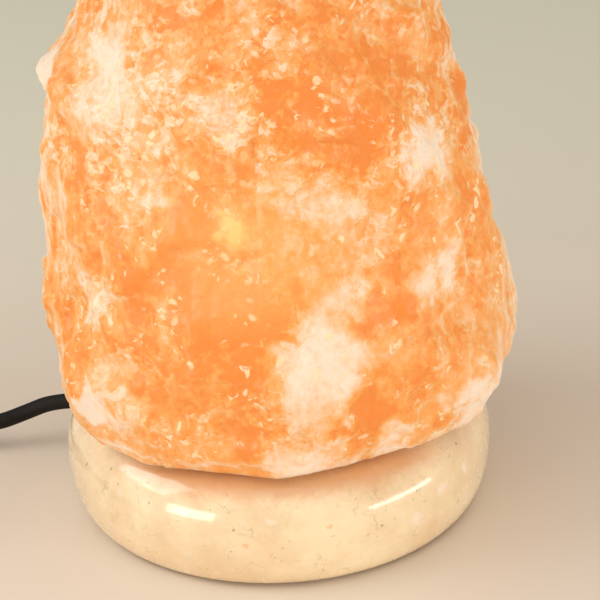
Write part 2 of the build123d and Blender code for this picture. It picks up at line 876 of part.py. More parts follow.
with BuildPart() as dimmer_spindle:
    with BuildSketch(dimmer_plane.offset(board_top + spindle_lift)):
        Circle(spindle_radius)
    extrude(amount=spindle_top - board_top - spindle_lift)
dimmer_spindle.part.label = "dimmer_spindle"

with BuildPart() as dimmer_wheel:
    with BuildSketch(dimmer_plane.offset(split_height - wheel_thickness / 2)):
        Circle(wheel_radius)
        Circle(spindle_radius + fit_gap / 2, mode=Mode.SUBTRACT)
        with PolarLocations(wheel_radius, wheel_notches):
            Circle(wheel_notch_radius, mode=Mode.SUBTRACT)
    extrude(amount=wheel_thickness)
dimmer_wheel.part.label = "dimmer_wheel"

with BuildPart() as dimmer_capacitor:
    with BuildSketch(dimmer_plane.offset(board_top)):
        with Locations((-part_offset, 0)):
            Rectangle(part_thickness, capacitor_width)
    extrude(amount=capacitor_height)
dimmer_capacitor.part.label = "dimmer_capacitor"

with BuildPart() as dimmer_triac:
    with BuildSketch(dimmer_plane.offset(board_top)):
        with Locations((part_offset, 0)):
            Rectangle(part_thickness, triac_width)
    extrude(amount=triac_height)
dimmer_triac.part.label = "dimmer_triac"


def relief_section(side):
    """Section of a cord bush: collar inside the case, neck in its wall, tapered nose outside."""
    wall_inside = dimmer_length / 2 - dimmer_wall - relief_seat_gap
    wall_outside = dimmer_length / 2 + relief_seat_gap
    bore = cord_radius + fit_gap
    neck = relief_neck_radius - fit_gap
    corners = [
        (wall_inside - relief_collar_thickness, bore),
        (dimmer_reach, bore),
        (dimmer_reach, relief_small_radius),
        (wall_outside, relief_large_radius),
        (wall_outside, neck),
        (wall_inside, neck),
        (wall_inside, relief_large_radius),
        (wall_inside - relief_collar_thickness, relief_large_radius),
    ]
    return [(side * along, radius) for along, radius in corners]


relief_plane = Plane(
    origin=cord_axis_plane.origin,
    x_dir=dimmer_direction,
    z_dir=dimmer_direction.cross(Vector(0, 0, 1)),
)
cord_axis = Axis(relief_plane.origin, dimmer_direction)

with BuildPart() as dimmer_reliefs:
    for side in (-1, 1):
        with BuildSketch(relief_plane):
            with BuildLine():
                Polyline(*relief_section(side), close=True)
            make_face()
        revolve(axis=cord_axis)
dimmer_reliefs.part.label = "dimmer_reliefs"

tail_end = dimmer_length / 2 - tail_inside
with BuildPart() as dimmer_cord_tails:
    for side in (-1, 1):
        tail_plane = Plane(
            origin=cord_axis_plane.origin + dimmer_direction * (side * tail_end),
            z_dir=dimmer_direction * side,
        )
        with BuildSketch(tail_plane):
            Circle(cord_radius)
        extrude(amount=dimmer_reach - tail_end)
dimmer_cord_tails.part.label = "dimmer_cord_tails"


def dimmer_wire_route(side, lane):
    """Route of one core inside the dimmer, from the end of a tail down to the board."""
    local = [
        (side * tail_end, lane * core_spacing / 2, split_height),
        (side * (tail_end - 2 * dimmer_wire_radius), lane * core_spacing / 2, split_height),
        (side * wire_landing, lane * wire_lane, board_top + part_thickness / 2),
        (side * wire_landing, lane * wire_lane, board_top),
    ]
    return [dimmer_plane.from_local_coords(point) for point in local]


with BuildPart() as dimmer_wires:
    for side in (-1, 1):
        for lane in (-1, 1):
            with BuildLine() as wire_line:
                FilletPolyline(*dimmer_wire_route(side, lane), radius=dimmer_wire_radius * 0.9)
            with BuildSketch(Plane(origin=wire_line.line @ 0, z_dir=wire_line.line % 0)):
                Circle(dimmer_wire_radius)
            sweep()
dimmer_wires.part.label = "dimmer_wires"

# ---------------------------------------------------------------- coil, tie and plug


def coil_place(turned):
    """Centre line of the coil: its place and direction, `turned` turns after the reversal."""
    azimuth = radians(coil_start_angle) + 2 * pi * (turned + coil_turns / 2)
    radius = coil_inner_radius + coil_step * abs(turned)
    climb = min(max(turned + 0.25, 0) * 2, 1)
    height = coil_bottom_height + coil_step * (1 - cos(pi * climb)) / 2
    outward = Vector(cos(azimuth), sin(azimuth), 0)
    onward = Vector(-sin(azimuth), cos(azimuth), 0)
    spread = coil_step / (2 * pi) * (1 if turned > 0 else -1)
    rise = coil_step * sin(pi * climb) / 2
    place = Vector(*coil_centre, 0) + outward * radius + Vector(0, 0, height)
    heading = (onward * radius + outward * spread + Vector(0, 0, rise)).normalized()
    return place, heading


def arc_middle(start, heading, end):
    """Middle of the arc that leaves a start along a heading and reaches an end."""
    chord = end - start
    along = chord.normalized()
    half_turn = heading.get_angle(chord)
    aside = (heading - along * heading.dot(along)).normalized()
    return (start + end) * 0.5 + aside * (chord.length / 2 * tan(radians(half_turn / 2)))


def biarc(start, heading, end, end_heading):
    """Two arcs that leave the start and reach the end along the two headings."""
    chord = end - start
    both = heading + end_heading
    spare = 2 * (1 - heading.dot(end_heading))
    reach = (sqrt(chord.dot(both) ** 2 + spare * chord.dot(chord)) - chord.dot(both)) / spare
    joint = (start + heading * reach + end - end_heading * reach) * 0.5
    ThreePointArc(start, arc_middle(start, heading, joint), joint)
    ThreePointArc(joint, arc_middle(end, end_heading * -1, joint), end)


coil_first, coil_first_heading = coil_place(-coil_turns / 2)
coil_last, coil_last_heading = coil_place(coil_turns / 2)
coil_entry = coil_first - coil_first_heading * cord_diameter
coil_exit = coil_last + coil_last_heading * cord_diameter

with BuildPart() as cord_lead:
    lead_start = far_nose + dimmer_direction * cord_end_run
    lead_finish = coil_entry - coil_first_heading * cord_end_run
    lead_ends = [tuple(far_nose), tuple(lead_start)], [tuple(lead_finish), tuple(coil_entry)]
    lead_length = cord_tube("cord_lead", [*lead_ends[0], *cord_lead_points, *lead_ends[1]])
cord_lead.part.label = "cord_lead"
check_tube("cord_lead", cord_lead.part, lead_length)

with BuildPart() as cord_coil:
    steps = round(coil_turns * coil_points_per_turn)
    stations = [coil_place(step / coil_points_per_turn - coil_turns / 2) for step in range(steps + 1)]
    with BuildLine() as coil_line:
        Line(coil_entry, coil_first)
        for before, after in zip(stations, stations[1:]):
            biarc(*before, *after)
        Line(coil_last, coil_exit)
    with BuildSketch(Plane(origin=coil_entry, z_dir=coil_first_heading)):
        Circle(cord_radius)
    sweep()
cord_coil.part.label = "cord_coil"

coil_wire = coil_line.wire()
coil_length = coil_wire.length
samples = 1000
coil_points = [tuple(coil_wire @ (i / samples)) for i in range(samples + 1)]
apart = int(6 * cord_diameter / coil_length * samples)
least = min(
    dist(coil_points[i], coil_points[j])
    for i in range(samples + 1)
    for j in range(i + apart, samples + 1)
)
print("cord_coil length", round(coil_length, 1), "least gap to itself", round(least - cord_diameter, 3))
check_tube("cord_coil", cord_coil.part, coil_length)

with BuildPart() as cord_plug_lead:
    plug_lead_start = coil_exit + coil_last_heading * cord_end_run
    plug_lead_points = [tuple(coil_exit), tuple(plug_lead_start), *cord_plug_points]
    plug_lead_length = cord_tube("cord_plug_lead", plug_lead_points)
cord_plug_lead.part.label = "cord_plug_lead"
check_tube("cord_plug_lead", cord_plug_lead.part, plug_lead_length)

# The tie is a flat strap closed round all the turns at one place, with a short twisted end.
tie_turn_share = (tie_azimuth - coil_start_angle) / 360
tie_rings = int(coil_turns / 2 - tie_turn_share)
tie_outer = coil_outer_radius - coil_step * tie_turn_share + cord_radius + tie_gap
tie_inner = tie_outer - coil_step * tie_rings - cord_diameter - 2 * tie_gap
tie_top = coil_bottom_height + coil_step + cord_radius + tie_gap
tie_plane = Plane(
    origin=(*coil_centre, 0), x_dir=direction(tie_azimuth), z_dir=direction(tie_azimuth - 90)
)
with BuildPart() as cord_tie:
    with BuildSketch(tie_plane):
        with Locations(((tie_inner + tie_outer) / 2, (tie_thickness + tie_top) / 2)):
            tie_span = tie_outer - tie_inner
            tie_rise = tie_top - tie_thickness
            Rectangle(tie_span + 2 * tie_thickness, tie_rise + 2 * tie_thickness)
            Rectangle(tie_span, tie_rise, mode=Mode.SUBTRACT)
    extrude(amount=tie_width / 2, both=True)
    tail_start = Vector((tie_inner + tie_outer) / 2, tie_top + tie_thickness, 0)
    with BuildSketch(tie_plane):
        with Locations((tail_start.X, tail_start.Y + tie_tail_length / 4)):
            Rectangle(2 * tie_thickness, tie_tail_length / 2)
    extrude(amount=tie_width / 4, both=True)
cord_tie.part.label = "cord_tie"

plug_start = Vector(*cord_plug_points[-1])
plug_run = plug_start - Vector(*cord_plug_points[-2])
plug_direction = Vector(plug_run.X, plug_run.Y, 0).normalized()
plug_plane = Plane(
    origin=(plug_start.X, plug_start.Y, plug_axis_height), x_dir=plug_direction, z_dir=(0, 0, 1)
)
plug_face = plug_relief_length + plug_body_length
pin_places = [(0, pin_spacing / 2), (0, -pin_spacing / 2)]
pin_plane = Plane(
    origin=plug_plane.from_local_coords(Vector(plug_face, 0, 0)),
    x_dir=(0, 0, 1),
    z_dir=plug_direction,
)

with BuildPart() as plug_body:
    with BuildSketch(plug_plane.offset(-plug_axis_height)):
        with BuildLine():
            half_outline = [
                (plug_relief_length, plug_relief_large_radius),
                (plug_relief_length + plug_waist_place, plug_waist_width / 2),
                (plug_relief_length + plug_shoulder_place, plug_shoulder_width / 2),
                (plug_face - plug_face_depth, plug_face_width / 2),
                (plug_face, plug_face_width / 2),
            ]
            mirrored = [(along, -aside) for along, aside in reversed(half_outline)]
            Polyline(*half_outline, *mirrored, close=True)
        make_face()
    extrude(amount=plug_thickness)
    fillet(plug_body.edges().filter_by(Axis.Z), radius=plug_edge_radius)
    rims = plug_body.edges().group_by(Axis.Z)
    fillet([*rims[0], *rims[-1]], radius=plug_edge_radius * 0.9)
    with BuildSketch(Plane(origin=plug_start, z_dir=plug_direction)):
        Circle(plug_relief_small_radius)
    with BuildSketch(
        Plane(origin=plug_start + plug_direction * (plug_relief_length + 1), z_dir=plug_direction)
    ):
        Circle(plug_relief_large_radius)
    loft()
plug_body.part.label = "plug_body"

with BuildPart() as pin_sleeves:
    with BuildSketch(pin_plane):
        with Locations(*pin_places):
            Circle(pin_radius)
            Circle(pin_core_radius + fit_gap, mode=Mode.SUBTRACT)
    extrude(amount=pin_sleeve_length)
pin_sleeves.part.label = "pin_sleeves"

with BuildPart() as plug_pins:
    with BuildSketch(pin_plane):
        with Locations(*pin_places):
            Circle(pin_core_radius)
    extrude(amount=pin_sleeve_length)
    with BuildSketch(pin_plane.offset(pin_sleeve_length)):
        with Locations(*pin_places):
            Circle(pin_radius)
    extrude(amount=pin_length - pin_sleeve_length)
    tips = plug_pins.faces().sort_by(Axis(pin_plane.origin, plug_direction))[-2:]
    fillet(tips.edges(), radius=pin_tip_radius)
plug_pins.part.label = "plug_pins"

# ---------------------------------------------------------------- write each piece

pieces = [
    felt_ring,
    marble_base,
    cord_grommet,
    salt_crystal,
    screw_plugs,
    screw_washers,
    base_screws,
    cord_bush,
    spring_bracket,
    holder_cap,
    lock_nut,
    holder_body,
    terminal_block,
    terminal_screws,
    shell_contact,
    centre_contact,
    core_wires,
    bulb_glass,
    bulb_cap,
    bulb_insulator,
    bulb_tip,
    bulb_stem,
    bulb_leads,
    bulb_filament,
    cord_inside,
    cord_run,
    dimmer_lower,
    dimmer_upper,
    dimmer_screws,
    dimmer_board,
    dimmer_dial,
    dimmer_spindle,
    dimmer_wheel,
    dimmer_capacitor,
    dimmer_triac,
    dimmer_reliefs,
    dimmer_cord_tails,
    dimmer_wires,
    cord_lead,
    cord_coil,
    cord_plug_lead,
    cord_tie,
    plug_body,
    pin_sleeves,
    plug_pins,
]
os.makedirs("parts", exist_ok=True)
for piece in pieces:
    export_step(piece.part, f"parts/{piece.part.label}.step")
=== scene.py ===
from math import cos, pi, radians, sin

import bmesh
import bpy
from mathutils import Matrix, Vector, noise


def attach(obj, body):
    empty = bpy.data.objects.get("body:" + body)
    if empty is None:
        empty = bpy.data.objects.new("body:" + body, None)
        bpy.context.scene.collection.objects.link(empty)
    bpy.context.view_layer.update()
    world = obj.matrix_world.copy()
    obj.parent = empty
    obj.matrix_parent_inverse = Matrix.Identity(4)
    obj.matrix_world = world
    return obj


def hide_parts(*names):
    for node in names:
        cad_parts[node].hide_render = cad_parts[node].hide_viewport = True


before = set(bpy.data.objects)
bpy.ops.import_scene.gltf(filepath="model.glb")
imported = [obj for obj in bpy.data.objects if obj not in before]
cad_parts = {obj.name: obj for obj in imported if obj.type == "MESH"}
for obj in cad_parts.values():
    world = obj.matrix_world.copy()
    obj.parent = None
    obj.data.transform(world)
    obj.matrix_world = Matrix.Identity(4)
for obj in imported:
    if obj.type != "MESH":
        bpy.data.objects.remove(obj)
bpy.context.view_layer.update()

# Camera, studio and table
# The lamp stands on a plain pale table under a wide soft light, with a key light at the left and a
# low soft box on each side for the polished base to mirror. The fill light at the right doesn't
# show in reflections. The camera looks down on the lamp at 27 degrees.
camera_target = Vector((0.00895, 0.0, 0.067))
camera_distance = 0.75
camera_elevation = radians(26.8)
camera_roll = radians(-2.5)
camera_lens = 138.99

forward = Vector((0, cos(camera_elevation), -sin(camera_elevation)))
level_right = Vector((1, 0, 0))
level_up = Vector((0, sin(camera_elevation), cos(camera_elevation)))
camera_right = level_right * cos(camera_roll) + level_up * sin(camera_roll)
camera_up = level_up * cos(camera_roll) - level_right * sin(camera_roll)
camera_data = bpy.data.cameras.new("camera")
camera_data.lens = camera_lens
camera_data.sensor_width = 36
camera_data.clip_start = 0.01
camera = bpy.data.objects.new("camera", camera_data)
camera_axes = Matrix((camera_right, camera_up, -forward)).transposed().to_4x4()
camera.matrix_world = Matrix.Translation(camera_target - forward * camera_distance) @ camera_axes
bpy.context.scene.collection.objects.link(camera)
bpy.context.scene.camera = camera
bpy.context.scene.view_settings.view_transform = "Standard"
light_aim = Vector((0, 0, 0.08))


def soft_box(name, azimuth, elevation, distance, width, height, power, colour):
    """A soft light at a place on a sphere round the lamp, facing it. The angles are in degrees."""
    light = bpy.data.lights.new(name, "AREA")
    light.shape = "RECTANGLE"
    light.size = width
    light.size_y = height
    light.energy = power
    light.color = colour
    box = bpy.data.objects.new(name, light)
    turned = radians(azimuth)
    raised = radians(elevation)
    out = Vector((cos(raised) * cos(turned), cos(raised) * sin(turned), sin(raised)))
    place = light_aim + out * distance
    box.matrix_world = Matrix.Translation(place) @ out.to_track_quat("Z", "Y").to_matrix().to_4x4()
    bpy.context.scene.collection.objects.link(box)
    return box


soft_box("overhead_light", -80, 66, 1.3, 1.8, 1.4, 5.6, (1.0, 0.98, 0.94))
soft_box("key_light", -172, 36, 1.2, 0.7, 0.6, 5.2, (0.98, 1.0, 0.99))
soft_box("left_box", -136, 7, 1.1, 0.5, 0.30, 3.4, (1.0, 0.96, 0.9))
soft_box("right_box", -28, 3, 1.1, 0.75, 0.12, 2.4, (1.0, 0.96, 0.9))
fill_light = soft_box("fill_light", -42, 6, 1.2, 0.6, 0.3, 3.0, (1.0, 0.98, 0.92))
fill_light.visible_glossy = False

room_colour = (0.95, 0.90, 0.82, 1)
room_strength = 0.45
world = bpy.data.worlds.new("studio")
bpy.context.scene.world = world
world.use_nodes = True
background = world.node_tree.nodes["Background"]
background.inputs["Color"].default_value = room_colour
background.inputs["Strength"].default_value = room_strength


def feed(tree, socket, value):
    """Sets a node's input from a value or from another node's output."""
    if isinstance(value, bpy.types.NodeSocket):
        tree.links.new(value, socket)
    else:
        socket.default_value = value


def add_node(tree, kind, **sockets):
    """A shader node, with its inputs set by name from values or from other nodes' outputs."""
    node = tree.nodes.new(kind)
    for name, value in sockets.items():
        feed(tree, node.inputs[name.replace("_", " ")], value)
    return node


def maths(tree, operation, *values):
    """The output of a Math node on numbers or on other nodes' outputs."""
    node = tree.nodes.new("ShaderNodeMath")
    node.operation = operation
    for socket, value in zip(node.inputs, values):
        feed(tree, socket, value)
    return node.outputs["Value"]


def vector_maths(tree, operation, *values):
    """The output of a Vector Math node on vectors, numbers or other nodes' outputs."""
    node = tree.nodes.new("ShaderNodeVectorMath")
    node.operation = operation
    for socket, value in zip([each for each in node.inputs if each.enabled], values):
        feed(tree, socket, value)
    return next(socket for socket in node.outputs if socket.enabled)


def remap(tree, value, low, high, start=0.0, end=1.0):
    """A value eased from start to end as it goes from low to high."""
    node = add_node(tree, "ShaderNodeMapRange", Value=value)
    node.interpolation_type = "SMOOTHSTEP"
    for name, number in zip(("From Min", "From Max", "To Min", "To Max"), (low, high, start, end)):
        node.inputs[name].default_value = number
    return node.outputs["Result"]


def blend_colours(tree, share, first, second):
    """The first colour where share is 0, and the second where it is 1."""
    node = tree.nodes.new("ShaderNodeMix")
    node.data_type = "RGBA"
    colour_sockets = [socket for socket in node.inputs if socket.type == "RGBA"]
    for socket, value in zip((node.inputs["Factor"], *colour_sockets), (share, first, second)):
        feed(tree, socket, value)
    return next(socket for socket in node.outputs if socket.type == "RGBA")


def new_finish(name, **sockets):
    """A material with one Principled shader: returns the material, its tree and the shader."""
    material = bpy.data.materials.new(name)
    material.use_nodes = True
    tree = material.node_tree
    shader = tree.nodes["Principled BSDF"]
    for socket, value in sockets.items():
        shader.inputs[socket.replace("_", " ")].default_value = value
    return material, tree, shader


def surface_place(tree):
    """The point of the surface in the lamp's own frame, in metres."""
    return tree.nodes.new("ShaderNodeTexCoord").outputs["Object"]


def place_mesh(name, mesh, material, body=None):
    """A finished piece: an object at the origin with its place in its mesh, riding on any body."""
    piece = bpy.data.objects.new(name, mesh)
    bpy.context.scene.collection.objects.link(piece)
    mesh.materials.clear()
    mesh.materials.append(material)
    if body:
        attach(piece, body)
    return piece


table_half_width = 3.0
table_colour = (0.80, 0.70, 0.59, 1)
# painted light: the table's tint changes toward the back as the room's light does
far_table_light_tint = (0.78, 0.74, 0.60, 1)
far_table_start = 0.0
far_table_end = 0.4
table_finish, tree, shader = new_finish("pale_table", Roughness=0.55, Specular_IOR_Level=0.2)
apart = add_node(tree, "ShaderNodeSeparateXYZ", Vector=surface_place(tree))
far_share = remap(tree, apart.outputs["Y"], far_table_start, far_table_end)
table_tint = blend_colours(tree, far_share, table_colour, far_table_light_tint)
tree.links.new(table_tint, shader.inputs["Base Color"])
form = bmesh.new()
bmesh.ops.create_grid(form, x_segments=1, y_segments=1, size=table_half_width)
table_mesh = bpy.data.meshes.new("table")
form.to_mesh(table_mesh)
form.free()
place_mesh("table", table_mesh, table_finish)

# Mains cord
# A round black two-core cord, 5.4 mm across. It leaves the base at the back left and sinks on its
# way to the dimmer, and past that the put-away rest of it is a tied coil in two layers.
cord_radius = 0.0027
cord_to_dimmer = [
    (-0.0667, 0.0261, 0.01895),
    (-0.0773, 0.03025, 0.0170),
    (-0.0879, 0.03105, 0.0123),
    (-0.0982, 0.02845, 0.0098),
    (-0.1088, 0.0288, 0.0090),
]
cord_to_coil = [
    (-0.21274, 0.03223, 0.0090),
    (-0.22354, 0.03259, 0.0090),
    (-0.2363, 0.0306, 0.0084),
    (-0.2473, 0.0237, 0.0071),
    (-0.2546, 0.0130, 0.0056),
    (-0.2572, 0.0002, 0.0043),
    (-0.25684, -0.0118, 0.0034),
]
cord_to_plug = [
    (-0.1973, -0.07134, 0.0093),
    (-0.1889, -0.0706, 0.0081),
    (-0.1808, -0.0684, 0.0070),
    (-0.1732, -0.0652, 0.0069),
]
coil_middle = Vector((-0.2135, -0.0280, 0))
coil_inner_radius = 0.0216
coil_step = 0.0059
coil_bottom = 0.0034
coil_turns = 7.25
coil_climb_turns = 0.5
points_per_turn = 16
# the spline cuts its corners, so the coil's points stand out by this factor
corner_cut = 1.012


def coil_points():
    """The coil's turns: in along the table, up at the middle, and out again on top."""
    points = []
    for step in range(round(coil_turns * points_per_turn) + 1):
        turned = step / points_per_turn - coil_turns / 2
        azimuth = pi + 2 * pi * step / points_per_turn
        radius = (coil_inner_radius + coil_step * abs(turned)) * corner_cut
        climb = min(max(turned / coil_climb_turns + 0.5, 0), 1)
        height = coil_bottom + coil_step * (1 - cos(pi * climb)) / 2
        points.append(coil_middle + Vector((radius * cos(azimuth), radius * sin(azimuth), height)))
    return points


def cord_curve(name, points):
    """A round cord on one smooth spline with the route's points as its control points."""
    curve = bpy.data.curves.new(name, "CURVE")
    curve.dimensions = "3D"
    spline = curve.splines.new("NURBS")
    spline.points.add(len(points) - 1)
    for point, where in zip(spline.points, points):
        point.co = (*where, 1)
    spline.order_u = 3
    spline.use_endpoint_u = True
    spline.resolution_u = 8
    curve.bevel_depth = cord_radius
    curve.bevel_resolution = 5
    curve.use_fill_caps = True
    return curve


def shared_group(name, inputs, outputs):
    """A named shader node group: returns its tree, its input node and its output node."""
    group = bpy.data.node_groups.new(name, "ShaderNodeTree")
    for label, kind in inputs.items():
        group.interface.new_socket(label, in_out="INPUT", socket_type=kind)
    for label, kind in outputs.items():
        group.interface.new_socket(label, in_out="OUTPUT", socket_type=kind)
    return group, group.nodes.new("NodeGroupInput"), group.nodes.new("NodeGroupOutput")


def place_group(tree, group, **sockets):
    """One use of a shared group in a material, with its own values."""
    node = tree.nodes.new("ShaderNodeGroup")
    node.node_tree = group
    for name, value in sockets.items():
        feed(tree, node.inputs[name], value)
    return node


number_kind = "NodeSocketFloat"
colour_kind = "NodeSocketColor"
mould_grain, ins, outs = shared_group(
    "mould_grain", {"Scale": number_kind}, {"Height": number_kind}
)
grain = add_node(
    mould_grain, "ShaderNodeTexNoise", Vector=surface_place(mould_grain), Detail=3.0, Roughness=0.6
)
mould_grain.links.new(ins.outputs["Scale"], grain.inputs["Scale"])
mould_grain.links.new(grain.outputs["Fac"], outs.inputs["Height"])

dust_film, ins, outs = shared_group(
    "dust_film",
    {"Clean": colour_kind, "Dust": colour_kind, "Scale": number_kind, "Amount": number_kind},
    {"Colour": colour_kind, "Cover": number_kind},
)
clouding = add_node(
    dust_film, "ShaderNodeTexNoise", Vector=surface_place(dust_film), Detail=5.0, Roughness=0.65
)
dust_film.links.new(ins.outputs["Scale"], clouding.inputs["Scale"])
cover = remap(dust_film, clouding.outputs["Fac"], 0.38, 0.72)
settled = maths(dust_film, "MULTIPLY", cover, ins.outputs["Amount"])
film = blend_colours(dust_film, settled, ins.outputs["Clean"], ins.outputs["Dust"])
dust_film.links.new(film, outs.inputs["Colour"])
dust_film.links.new(cover, outs.inputs["Cover"])


def add_bump(tree, shader, height, strength, distance):
    """Relief from a height, in the shader's normal."""
    bump = add_node(tree, "ShaderNodeBump", Height=height, Strength=strength, Distance=distance)
    tree.links.new(bump.outputs["Normal"], shader.inputs["Normal"])


def dull_and_grain(tree, shader, film, roughness, dulling, grain_scale, strength, depth):
    """A roughness that grows under a film of dust, and a fine grain in relief."""
    dulled = remap(tree, film.outputs["Cover"], 0.0, 1.0, roughness, roughness + dulling)
    tree.links.new(dulled, shader.inputs["Roughness"])
    relief = place_group(tree, mould_grain, Scale=grain_scale)
    add_bump(tree, shader, relief.outputs["Height"], strength, depth)


def soft_plastic(name, colour, dust, amount, roughness, grain_scale, grain_depth):
    """Moulded rubber or plastic: an even colour under a film of dust, with a fine grain."""
    material, tree, shader = new_finish(name, Specular_IOR_Level=0.28)
    film = place_group(tree, dust_film, Clean=colour, Dust=dust, Amount=amount, Scale=70.0)
    tree.links.new(film.outputs["Colour"], shader.inputs["Base Color"])
    dull_and_grain(tree, shader, film, roughness, 0.14, grain_scale, 0.25, grain_depth)
    return material


cord_finish = soft_plastic(
    "cord_sheath", (0.004, 0.002, 0.001, 1), (0.012, 0.007, 0.003, 1), 0.5, 0.60, 900.0, 0.0002
)
near_cord = bpy.data.objects.new("near_cord", cord_curve("near_cord", cord_to_dimmer))
far_cord = bpy.data.objects.new(
    "far_cord", cord_curve("far_cord", [*cord_to_coil, *coil_points(), *cord_to_plug])
)
for cord in (near_cord, far_cord):
    bpy.context.scene.collection.objects.link(cord)
    cord.data.materials.append(cord_finish)
    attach(cord, "lamp")
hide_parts("cord_run")
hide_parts("cord_lead", "cord_coil", "cord_plug_lead")


def dress(material, *names):
    """Gives CAD nodes their finish."""
    for name in names:
        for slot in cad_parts[name].material_slots:
            slot.material = material


dress(cord_finish, "cord_inside", "dimmer_cord_tails")

# Felt ring
# A self-adhesive ring of dark felt under the base: short matted fibres with lint in them.
felt_finish, tree, shader = new_finish("felt", Roughness=0.95, Specular_IOR_Level=0.15)
shader.inputs["Sheen Weight"].default_value = 0.4
place = surface_place(tree)
fibres = add_node(
    tree, "ShaderNodeTexNoise", Vector=place, Scale=1600.0, Detail=4.0, Distortion=2.0
)
felt_colour = (0.022, 0.019, 0.017, 1)
lint_colour = (0.10, 0.09, 0.08, 1)
lint = place_group(
    tree, dust_film, Clean=felt_colour, Dust=lint_colour, Scale=300.0, Amount=0.5
)
tree.links.new(lint.outputs["Colour"], shader.inputs["Base Color"])
add_bump(tree, shader, fibres.outputs["Fac"], 0.8, 0.0006)
dress(felt_finish, "felt_ring")

# Onyx base
# A turned disc of cream onyx with a full round edge, polished to a gloss. The stone is cloudy,
# with grey-brown specks, hairlines, rusty stains and pinkish white chips. Under the front of the
# salt an orange-brown band is painted shade and glow of the salt on the stone.
stone_dark = (0.82, 0.60, 0.36, 1)
stone_pale = (0.94, 0.76, 0.50, 1)
vein_brown = (0.66, 0.47, 0.21, 1)
hairline_brown = (0.36, 0.27, 0.17, 1)
painted_glow_shade_brown = (0.72, 0.34, 0.13, 1)
stone_finish, tree, shader = new_finish("onyx", Specular_IOR_Level=0.5)
shader.inputs["Coat Weight"].default_value = 0.7
shader.inputs["Coat Roughness"].default_value = 0.07
shader.inputs["Subsurface Weight"].default_value = 0.2
shader.inputs["Subsurface Radius"].default_value = (1.0, 0.7, 0.4)
shader.inputs["Subsurface Scale"].default_value = 0.004
place = surface_place(tree)
clouds = add_node(tree, "ShaderNodeTexNoise", Vector=place, Scale=38.0, Detail=5.0, Roughness=0.6)
cloud_share = remap(tree, clouds.outputs["Fac"], 0.35, 0.68)
stone_colour = blend_colours(tree, cloud_share, stone_dark, stone_pale)
veins = add_node(
    tree, "ShaderNodeTexNoise", Vector=place, Scale=70.0, Detail=4.0, Roughness=0.7, Distortion=1.5
)
vein_share = remap(tree, veins.outputs["Fac"], 0.56, 0.74, 0.0, 0.6)
stone_colour = blend_colours(tree, vein_share, stone_colour, vein_brown)
line_noise = add_node(
    tree, "ShaderNodeTexNoise", Vector=place, Scale=95.0, Detail=2.0, Roughness=0.5, Distortion=0.6
)
line_middle = maths(tree, "ABSOLUTE", maths(tree, "SUBTRACT", line_noise.outputs["Fac"], 0.5))
line_breaks = add_node(tree, "ShaderNodeTexNoise", Vector=place, Scale=60.0, Detail=1.0)
hairlines = maths(
    tree,
    "MULTIPLY",
    remap(tree, line_middle, 0.0, 0.012, 0.38, 0.0),
    remap(tree, line_breaks.outputs["Fac"], 0.51, 0.60),
)
stone_colour = blend_colours(tree, hairlines, stone_colour, hairline_brown)


def scattered(tree, place, scale, size, rarity):
    """Mask of small spots: one in some of the cells of a pattern, with its random number."""
    cells = add_node(tree, "ShaderNodeTexVoronoi", Vector=place, Scale=scale)
    draw = add_node(tree, "ShaderNodeSeparateColor", Color=cells.outputs["Color"])
    spot = remap(tree, cells.outputs["Distance"], size * 0.6, size, 1.0, 0.0)
    chosen = maths(tree, "GREATER_THAN", draw.outputs["Red"], rarity)
    return maths(tree, "MULTIPLY", spot, chosen)


def bent(tree, place, pattern, reach):
    """A place moved along each axis by up to the reach, as another pattern's colour says."""
    return vector_maths(tree, "MULTIPLY_ADD", pattern.outputs["Color"], [reach] * 3, place)


wobble = add_node(tree, "ShaderNodeTexNoise", Vector=place, Scale=300.0, Detail=3.0)
rough_place = bent(tree, place, wobble, 0.004)
# specks, rusty stains and chips: scale of the pattern, size, rarity, strength and colour
for scale, size, rarity, share, colour in (
    (240.0, 0.16, 0.78, 0.65, (0.30, 0.24, 0.16, 1)),
    (430.0, 0.20, 0.70, 0.45, (0.46, 0.34, 0.20, 1)),
    (120.0, 0.16, 0.90, 0.55, (0.86, 0.42, 0.14, 1)),
    (110.0, 0.30, 0.82, 0.65, (0.97, 0.80, 0.66, 1)),
):
    spots = maths(tree, "MULTIPLY", scattered(tree, rough_place, scale, size, rarity), share)
    stone_colour = blend_colours(tree, spots, stone_colour, colour)
apart = add_node(tree, "ShaderNodeSeparateXYZ", Vector=place)
level = add_node(tree, "ShaderNodeCombineXYZ", X=apart.outputs["X"], Y=apart.outputs["Y"])
# painted shade and glow of the salt, on the upper face of the stone, at its front inside its edge
rim_radius = vector_maths(tree, "LENGTH", level.outputs["Vector"])
rim_radius = maths(tree, "MULTIPLY_ADD", veins.outputs["Fac"], 0.005, rim_radius)
inside_edge = remap(tree, rim_radius, 0.0655, 0.0700, 0.8, 0.0)
front = remap(tree, apart.outputs["Y"], -0.052, -0.035, 1.0, 0.0)
upper = remap(tree, apart.outputs["Z"], 0.024, 0.027)
painted_light_share = maths(tree, "MULTIPLY", maths(tree, "MULTIPLY", inside_edge, front), upper)
# the band blended in here is painted shade and glow, not a stain of the stone
stone_colour = blend_colours(tree, painted_light_share, stone_colour, painted_glow_shade_brown)
tree.links.new(stone_colour, shader.inputs["Base Color"])
polish = add_node(tree, "ShaderNodeTexNoise", Vector=place, Scale=220.0, Detail=4.0)
tree.links.new(remap(tree, polish.outputs["Fac"], 0.3, 0.7, 0.14, 0.30), shader.inputs["Roughness"])
add_bump(tree, shader, polish.outputs["Fac"], 0.04, 0.0004)
dress(stone_finish, "marble_base")

# Cord grommet
# A bush of black rubber in the hole in the side of the base, which keeps the cord off the stone.
rubber_finish = soft_plastic(
    "black_rubber", (0.014, 0.013, 0.013, 1), (0.10, 0.09, 0.08, 1), 0.35, 0.55, 700.0, 0.0003
)
dress(rubber_finish, "cord_grommet", "dimmer_reliefs", "plug_body")

